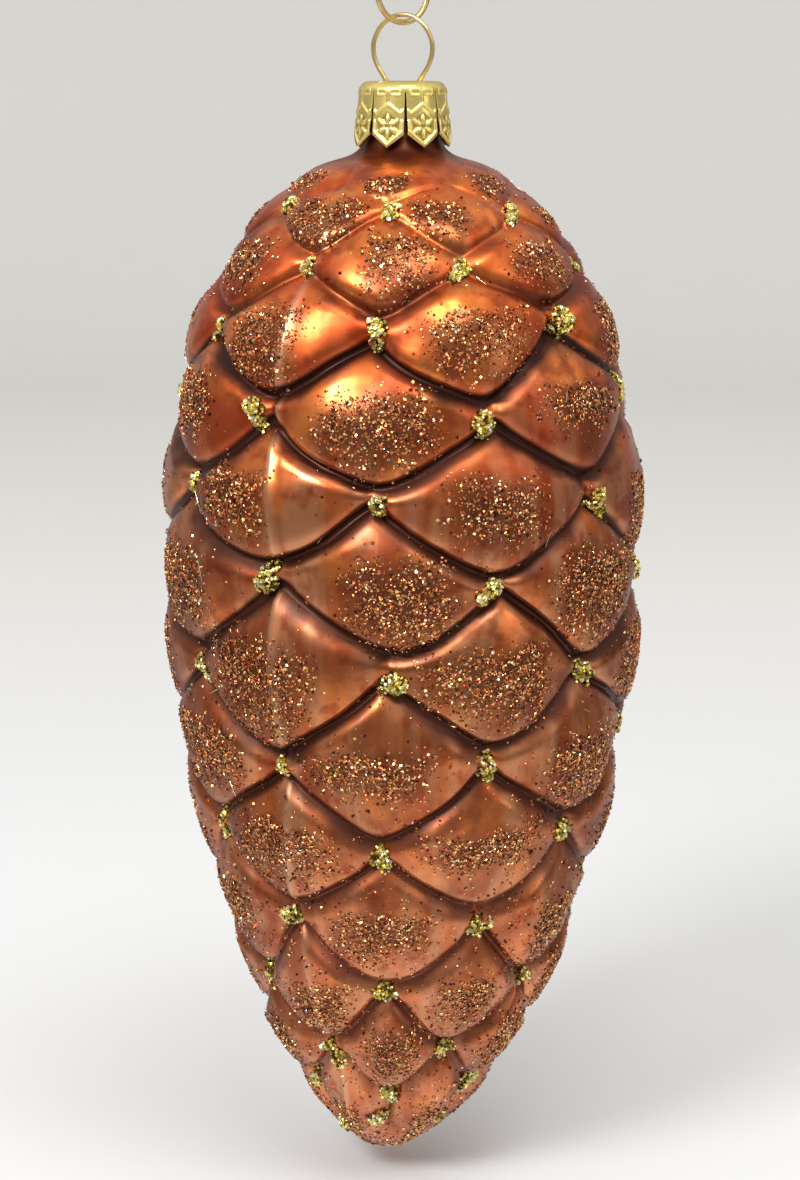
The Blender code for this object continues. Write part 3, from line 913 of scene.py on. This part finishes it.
def stamping(x, depth):
    """Height of the stamped pattern at a place on a prong, in millimetres."""
    x = np.abs(x)
    height = np.zeros(x.shape)
    for (x0, d0), (x1, d1), wide, high in RIDGES:
        length = (x1 - x0) ** 2 + (d1 - d0) ** 2
        t = np.clip(((x - x0) * (x1 - x0) + (depth - d0) * (d1 - d0)) / length, 0, 1)
        away = np.hypot(x - x0 - t * (x1 - x0), depth - d0 - t * (d1 - d0))
        ridge = 1 - smoothstep(away, wide * RIDGE_TOP, wide * RIDGE_FOOT)
        height = np.maximum(height, high * ridge)
    inside = np.minimum(np.minimum(depth - 3.75 - 0.75 * x, 7.6 - 0.8 * x - depth), 1.6 - x)
    height -= FIELD_SUNK * smoothstep(inside, 0, FIELD_EDGE)
    for turn in np.radians(np.arange(6) * 60):
        along = x * math.sin(turn) - (depth - FLOWER_DEPTH) * math.cos(turn) - PETAL_REACH
        across = x * math.cos(turn) + (depth - FLOWER_DEPTH) * math.sin(turn)
        petal = 1 - (along / PETAL_LONG) ** 2 - (across / PETAL_WIDE) ** 2
        height += PETAL_HIGH * np.sqrt(np.maximum(petal, 0))
    return height


# %% [markdown]
# Cutting and pressing the cap
#
# The faces in the slits are deleted, the rings near the rim are drawn down into points, and the
# stamping pushes the skin in and out along its normal. A Solidify modifier then gives the wall, so
# the pattern shows on both sides, as in pressed metal.

# %% Cutting and pressing the cap
CAP_WALL = 0.3
PRONGS, PRONG_COLUMNS, POINT_START = 8, 40, 4.2
SLIT_ANGLE, SLIT_TOP, SLIT_WIDTHS = 3.6, 1.35, (0.16, 0.5)
STAMP_START, STAMP_SUNK = (4.6, 5.2), 0.02
DENT, DENT_EDGE = 0.25, (1.0, 3.4)


def make_cap(material):
    line, out, slope = cap_profile()
    per_prong = PRONG_COLUMNS + 1
    columns = PRONGS * per_prong
    mesh, ring, column = unit_tube(len(line), columns, (0,))
    bm = bmesh.new()
    bm.from_mesh(mesh)
    slit_ring = TOP_RINGS + CORNER_RINGS - 1
    in_slits = []
    for face in bm.faces:
        places = [v.index for v in face.verts]
        ends = {int(column[i]) % per_prong for i in places}
        below = min(ring[i] for i in places) >= slit_ring
        if len(places) == 4 and ends == {0, PRONG_COLUMNS} and below:
            in_slits.append(face)
    bmesh.ops.delete(bm, geom=in_slits, context="FACES")
    bm.to_mesh(mesh)
    bm.free()
    prong, local = np.divmod(column, per_prong)
    t = local / PRONG_COLUMNS * 2 - 1
    radius, depth = line[ring].T
    stretch = np.clip((depth - POINT_START) / (PRONG_SIDE - POINT_START), 0, 1)
    depth = depth + stretch * (PRONG_TIP - PRONG_SIDE) * (1 - np.abs(t))
    radius = np.where(stretch > 0, CAP_TOP_RADIUS + slope * (depth - CAP_CORNER), radius)
    slit = np.interp(depth, (SLIT_TOP, PRONG_SIDE), SLIT_WIDTHS)
    half = math.pi / PRONGS - slit / 2 / np.maximum(radius, 1)
    angle = np.radians(SLIT_ANGLE) + (prong + 0.5) * math.tau / PRONGS + t * half
    shift = stamping(t * half * radius, depth) * smoothstep(radius, *STAMP_START) - STAMP_SUNK
    radius, depth = radius + out[ring, 0] * shift, depth + out[ring, 1] * shift
    height = CAP_TOP_Z - depth - DENT * (1 - smoothstep(radius, *DENT_EDGE))
    set_points(mesh, np.stack([radius * np.sin(angle), -radius * np.cos(angle), height], 1) * MM)
    point_attribute(mesh, "stamp", shift)
    outward(mesh)
    piece = place_mesh(mesh, "stamped_cap", material, "ornament", 60.0)
    wall = piece.modifiers.new("wall", "SOLIDIFY")
    wall.thickness = CAP_WALL * MM
    wall.offset = -1
    wall.use_rim = True
    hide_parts("cap")


# %% [markdown]
# Gold and brass
#
# The cap and both wires are brass-coloured metal that has been handled. Fingers leave soft smudges
# that dull the shine, and low places keep a darker film. Both effects are the same on each metal,
# so they are one node group with its own values in each material.

# %% Gold and brass
def handled_metal_group():
    tree = bpy.data.node_groups.new("handled_metal", "ShaderNodeTree")
    for name, side, kind in (
        ("Clean", "INPUT", "Color"), ("Film", "INPUT", "Color"), ("Low", "INPUT", "Float"),
        ("Smudge Scale", "INPUT", "Float"), ("Shine", "INPUT", "Float"),
        ("Color", "OUTPUT", "Color"), ("Roughness", "OUTPUT", "Float"),
        ("Height", "OUTPUT", "Float"),
    ):
        tree.interface.new_socket(name=name, in_out=side, socket_type=f"NodeSocket{kind}")
    ins = tree.nodes.new("NodeGroupInput").outputs
    smudge = noise_on_object(tree, ins["Smudge Scale"], 4.0)
    dull = ramp(tree, smudge, 0.4, 0.68)
    colour = colour_mix(tree, part_of(tree, dull, 0.3), ins["Clean"], ins["Film"])
    set_inputs(tree, tree.nodes.new("NodeGroupOutput"), {
        "Color": colour_mix(tree, ins["Low"], colour, ins["Film"]),
        "Roughness": multiply_add(tree, dull, 0.16, ins["Shine"]),
        "Height": noise_on_object(tree, 2600.0, 2.0),
    })
    return tree


handled_metal = handled_metal_group()


def metal(name, clean, film, smudge_scale, shine, low=None):
    material, tree, shader = new_material(name)
    group = add_node(tree, "ShaderNodeGroup", node_tree=handled_metal)
    set_inputs(tree, group, {
        "Clean": (*clean, 1), "Film": (*film, 1), "Smudge Scale": smudge_scale, "Shine": shine,
        "Low": ramp(tree, attribute(tree, low), 0.04, -0.12) if low else 0.0,
    })
    set_inputs(tree, shader, {
        "Base Color": group.outputs["Color"], "Roughness": group.outputs["Roughness"],
        "Normal": fine_bump(tree, group.outputs["Height"], 0.15, 0.0001), "Metallic": 0.8,
    })
    return material


make_cap(metal("stamped_gold", (1.0, 0.8, 0.26), (0.46, 0.33, 0.08), 300.0, 0.22, "stamp"))

# %% [markdown]
# The wires
#
# The loop is one piece of brass wire, bent round and pushed through the cap, where its legs spread
# to hold it. A Bezier curve with a round bevel makes a bent wire directly. The ring through it is a
# plain hoop, spun from a circle.

# %% The wires
LOOP_WIRE, LOOP_TURN, LOOP_HALF_WIDTH, LOOP_HEIGHT = 0.6, -25.0, 4.15, 8.34
LEG_SPACING, LEG_LENGTH, LEG_SPLAY = 4.6, 9.6, 0.8
RING_WIRE, RING_OUTER, RING_TURN = 0.75, 8.6, 35.0
LOOP_TOP_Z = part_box("hanging_loop")[1].z / MM - LOOP_WIRE / 2
RING_CENTRE_Z = sum(corner.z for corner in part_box("hanger_ring")) / 2 / MM


def make_loop(material):
    half = LEG_SPACING / 2
    side = [
        (LOOP_HALF_WIDTH * 0.55, -0.75),
        (LOOP_HALF_WIDTH * 0.94, -2.85),
        (LOOP_HALF_WIDTH, -4.4),
        (LOOP_HALF_WIDTH * 0.9, -6.1),
        (half + 0.45, -7.7),
        (half, -LOOP_HEIGHT - 0.15),
        (half + 0.1, -LOOP_HEIGHT - 2.0),
        (half + LEG_SPLAY, -LOOP_HEIGHT - LEG_LENGTH),
    ]
    points = [(-x, z) for x, z in reversed(side)] + [(0.0, 0.0)] + side
    curve = bpy.data.curves.new("wire_loop", "CURVE")
    curve.dimensions = "3D"
    curve.resolution_u = 10
    curve.bevel_depth = LOOP_WIRE / 2 * MM
    curve.bevel_resolution = 4
    curve.use_fill_caps = True
    spline = curve.splines.new("BEZIER")
    spline.bezier_points.add(len(points) - 1)
    turn = Matrix.Rotation(math.radians(LOOP_TURN), 3, "Z")
    for point, (x, z) in zip(spline.bezier_points, points):
        point.co = (turn @ Vector((x, 0.0, z)) + Vector((0, 0, LOOP_TOP_Z))) * MM
        point.handle_left_type = point.handle_right_type = "AUTO"
    bent = bpy.data.objects.new("bent", curve)
    mesh = bpy.data.meshes.new_from_object(bent)
    bpy.data.objects.remove(bent)
    mesh.materials.clear()
    piece = place_mesh(mesh, "wire_loop", material, "ornament", 60.0)
    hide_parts("hanging_loop")


def make_ring(material):
    bm = bmesh.new()
    section = bmesh.ops.create_circle(bm, segments=16, radius=RING_WIRE / 2)["verts"]
    bmesh.ops.translate(bm, vec=((RING_OUTER - RING_WIRE) / 2, 0, 0), verts=section)
    bmesh.ops.spin(bm, geom=section + bm.edges[:], cent=(0, 0, 0), axis=(0, 1, 0), angle=math.tau,
                   steps=ROUND_STEPS, use_merge=True)
    bmesh.ops.remove_doubles(bm, verts=bm.verts, dist=0.0005)
    bmesh.ops.recalc_face_normals(bm, faces=bm.faces)
    turn = Matrix.Rotation(math.radians(RING_TURN), 3, "Z")
    bmesh.ops.rotate(bm, cent=(0, 0, 0), matrix=turn, verts=bm.verts)
    bmesh.ops.translate(bm, vec=(0, 0, RING_CENTRE_Z), verts=bm.verts)
    mesh = mesh_from(bm, "wire_ring", MM)
    piece = place_mesh(mesh, "wire_ring", material, "hanger", 60.0)
    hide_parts("hanger_ring")


brass = metal("brass_wire", (0.66, 0.48, 0.2), (0.32, 0.21, 0.08), 250.0, 0.14)
make_loop(brass)
make_ring(brass)

# %% [markdown]
# The studio
#
# A pale floor lies just under the tip. Far from the ornament it curves up into a wall all round,
# like a round studio cove, so no edge shows from any side. Wide wash lights make the floor bright
# and leave no mark on the metal. Soft boxes make the highlights. The world is only seen in
# reflections, where it stands for the room: a pale floor below, dim walls and a lighter ceiling.

# %% The studio
FLOOR_RADIUS, COVE_RADIUS, WALL_TOP = 900.0, 350.0, 1300.0
# The far floor and wall are painted a little lighter and warmer than the floor near the ornament,
# as painted light, over the distances in metres given last.
NEAR_FLOOR, FAR_FLOOR, NEAR_TO_FAR = (0.66, 0.66, 0.66), (0.69, 0.68, 0.655), (0.25, 0.42)
ROOM_BRIGHTNESS = 1.2
# Greys of the room, from straight below at 0 to straight above at 1.
ROOM_GREYS = ((0.2, 0.8), (0.34, 0.36), (0.44, 0.21), (0.56, 0.2), (0.66, 0.45), (0.78, 0.8),
              (0.9, 0.7))
# Name, place and size in metres, power in watts, and whether the metal reflects it.
SOFT_LIGHTS = (
    ("wash_left", (-0.6, -0.3, 1.0), (0.9, 0.9), 1.3, False),
    ("wash_right", (0.6, -0.3, 1.0), (0.9, 0.9), 2.6, False),
    ("wash_back", (0.0, 0.6, 1.0), (0.9, 0.9), 1.8, False),
    ("key_left", (-0.36, -0.5, 0.4), (0.26, 0.26), 4.6, True),
    ("top", (0.12, -0.36, 0.55), (0.4, 0.3), 2.1, True),
    ("fill_right", (0.6, -0.35, 0.15), (0.2, 0.5), 0.4, True),
)
LIGHT_AIM = Vector((0, 0, -0.09))


def soft_light(name, place, size, power, glossy):
    data = bpy.data.lights.new(name, "AREA")
    data.shape = "RECTANGLE"
    data.size, data.size_y = size
    data.energy = power
    light = add_object(name, data)
    light.location = place
    light.rotation_euler = (LIGHT_AIM - Vector(place)).to_track_quat("-Z", "Y").to_euler()
    light.visible_glossy = glossy
    light.visible_camera = False


def pale_floor():
    material, tree, shader = new_material("pale_floor")
    flat = add_node(tree, "ShaderNodeVectorMath", {0: object_place(tree), 1: (1, 1, 0)},
                    operation="MULTIPLY")
    away = add_node(tree, "ShaderNodeVectorMath", {0: flat.outputs[0]}, operation="LENGTH")
    # Painted light: the floor turns lighter away from the ornament.
    far = ramp(tree, away.outputs["Value"], *NEAR_TO_FAR)
    grain = ramp(tree, noise_on_object(tree, 4.0, 2.0), 0.3, 0.7, 0, 0.03)
    colour = colour_mix(tree, far, NEAR_FLOOR, FAR_FLOOR)
    set_inputs(tree, shader, {"Base Color": colour_mix(tree, grain, colour, (0.5, 0.5, 0.5)),
                              "Roughness": 0.9, "Specular IOR Level": 0.1})
    return material


def make_cove():
    bend = [(FLOOR_RADIUS + COVE_RADIUS * math.sin(turn), 0, COVE_RADIUS * (1 - math.cos(turn)))
            for turn in np.radians(np.linspace(0, 90, 13))]
    bm = spun_line([(0, 0, 0), *bend, (FLOOR_RADIUS + COVE_RADIUS, 0, WALL_TOP)], ROUND_STEPS)
    bmesh.ops.remove_doubles(bm, verts=bm.verts, dist=0.01)
    bmesh.ops.recalc_face_normals(bm, faces=bm.faces)
    bmesh.ops.translate(bm, vec=(0, 0, FLOOR_Z), verts=bm.verts)
    mesh = mesh_from(bm, "cove", MM)
    mesh.shade_smooth()
    mesh.materials.append(pale_floor())
    cove = add_object("cove", mesh)
    cove.visible_glossy = False


def make_room():
    world = bpy.data.worlds.new("room")
    bpy.context.scene.world = world
    world.use_nodes = True
    tree = world.node_tree
    way = add_node(tree, "ShaderNodeTexCoord").outputs["Generated"]
    split = add_node(tree, "ShaderNodeSeparateXYZ", {"Vector": way})
    height = ramp(tree, split.outputs["Z"], -1, 1)
    bands = add_node(tree, "ShaderNodeValToRGB", {"Fac": height})
    steps = bands.color_ramp.elements
    steps[0].position, steps[0].color = 0.0, (1.0, 0.99, 0.98, 1)
    steps[1].position, steps[1].color = 1.0, (0.45, 0.45, 0.47, 1)
    for position, grey in ROOM_GREYS:
        steps.new(position).color = (grey, grey, grey, 1)
    back = ramp(tree, split.outputs["Y"], 0.2, 0.9)
    colour = colour_mix(tree, back, bands.outputs["Color"], (0.3, 0.29, 0.3))
    set_inputs(tree, tree.nodes["Background"], {"Color": colour, "Strength": ROOM_BRIGHTNESS})
    bpy.context.scene.view_settings.view_transform = "Standard"


make_cove()
make_room()
for settings in SOFT_LIGHTS:
    soft_light(*settings)
print(len(SOFT_LIGHTS), "soft lights over a round cove")
